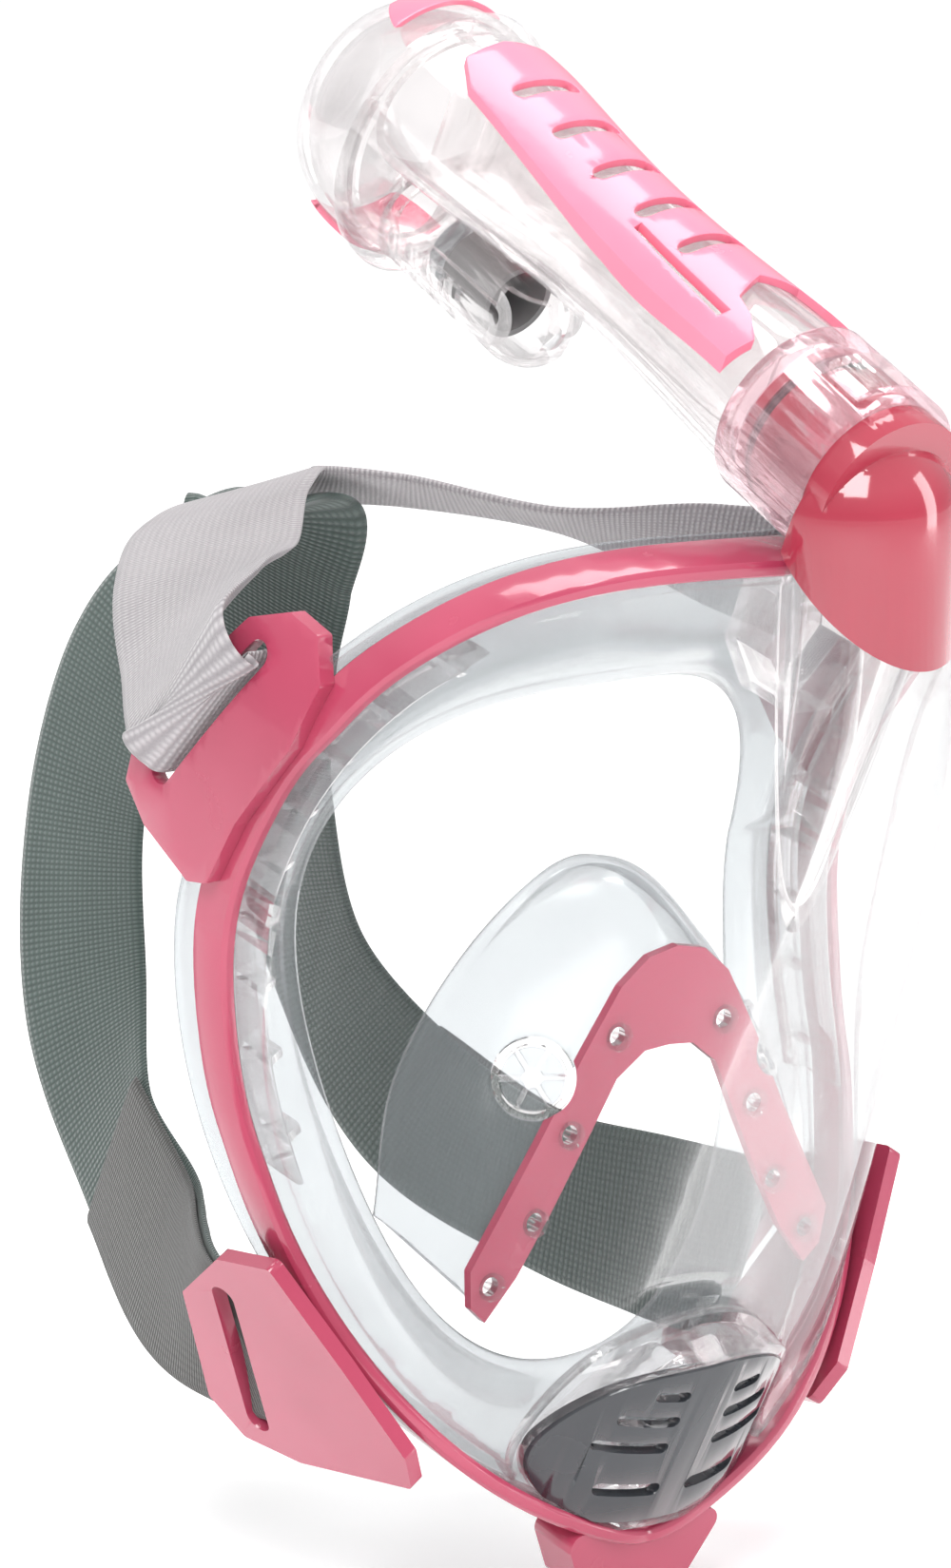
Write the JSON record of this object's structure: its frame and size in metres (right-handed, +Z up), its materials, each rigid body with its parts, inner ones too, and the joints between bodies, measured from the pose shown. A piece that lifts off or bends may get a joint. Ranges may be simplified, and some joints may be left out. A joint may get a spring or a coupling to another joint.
{
  "type": "full face snorkel mask",
  "caption": "Full face snorkel mask with a clear lens and skirt, a moulded frame with strap hooks, a two-tone head strap, and a detachable dry-top snorkel.",
  "frame": {"origin": "midway between the wearer's temples, in the plane of the face frame's widest points", "axes": "+X to the wearer's left, -Y forwards out of the lens, +Z up with the mask tipped forward as it hangs"},
  "size_m": [0.1842, 0.2578, 0.3263],
  "materials": {
    "clear_lens": "clear moulded polycarbonate",
    "clear_plastic": "clear moulded plastic",
    "clear_silicone": "translucent silicone",
    "frame": "glossy pink moulded plastic",
    "elbow": "glossy deep pink moulded plastic",
    "tube_plate": "light pink moulded plastic",
    "drain_cover": "glossy dark grey plastic",
    "float_grey": "matt grey plastic foam",
    "o_ring": "black rubber",
    "dark_strap": "dark grey-green woven elastic",
    "light_strap": "light grey woven elastic"
  },
  "bodies": {
    "mask": {"bridge_plate": "frame", "bridge_studs": "clear_plastic", "drain_housing": "clear_plastic", "drain_seat": "clear_plastic", "elbow": "elbow", "elbow_o_ring": "o_ring", "exhaust_channel_left": "clear_plastic", "exhaust_channel_right": "clear_plastic", "frame_ring": "frame", "inlet_baffle": "clear_lens", "intake_duct": "clear_lens", "lens": "clear_lens", "lower_strap": "dark_strap", "lower_strap_hook_left": "frame", "lower_strap_hook_right": "frame", "oronasal_pocket": "clear_silicone", "oronasal_valve_seat_left": "clear_plastic", "oronasal_valve_seat_right": "clear_plastic", "skirt": "clear_silicone", "upper_strap": "light_strap", "upper_strap_hook_left": "frame", "upper_strap_hook_right": "frame"},
    "release_button": {"release_button": "clear_plastic"},
    "float": {"float": "float_grey", "float_seal": "clear_silicone"},
    "drain_cover": {"drain_cover": "drain_cover"},
    "drain_membrane": {"drain_membrane": "clear_silicone"},
    "valve_flap_left": {"oronasal_valve_flap_left": "clear_silicone"},
    "valve_flap_right": {"oronasal_valve_flap_right": "clear_silicone"},
    "snorkel": {"snorkel_tube": "clear_plastic", "tube_collar": "clear_plastic", "tube_plate": "tube_plate", "dry_top_flange": "clear_plastic", "dry_top_cap": "clear_plastic", "cap_trim_front": "tube_plate", "cap_trim_back": "tube_plate", "float_chamber": "clear_plastic"}
  },
  "joints": [
    {"name": "snorkel_pull", "type": "slide", "parent": "mask", "child": "snorkel", "axis": [0, 0.891, 0.454], "range_m": [0, 0.03]},
    {"name": "release_press", "type": "slide", "parent": "snorkel", "child": "release_button", "axis": [0, 0.454, -0.891], "range_m": [0, 0.001], "stiffness_N_per_m": 400},
    {"name": "float_lift", "type": "slide", "parent": "snorkel", "child": "float", "axis": [0, 0.891, 0.454], "range_m": [0, 0.013]},
    {"name": "drain_cover_unclip", "type": "slide", "parent": "mask", "child": "drain_cover", "axis": [0, -0.8643, -0.503], "range_m": [0, 0.012]},
    {"name": "drain_membrane_open", "type": "slide", "parent": "mask", "child": "drain_membrane", "axis": [0, -0.8643, -0.503], "range_m": [0, 0.001], "stiffness_N_per_m": 100},
    {"name": "left_valve_open", "type": "slide", "parent": "mask", "child": "valve_flap_left", "axis": [-0.5817, 0.7168, -0.3844], "range_m": [0, 0.001], "stiffness_N_per_m": 100},
    {"name": "right_valve_open", "type": "slide", "parent": "mask", "child": "valve_flap_right", "axis": [0.5817, 0.7168, -0.3844], "range_m": [0, 0.001], "stiffness_N_per_m": 100}
  ]
}
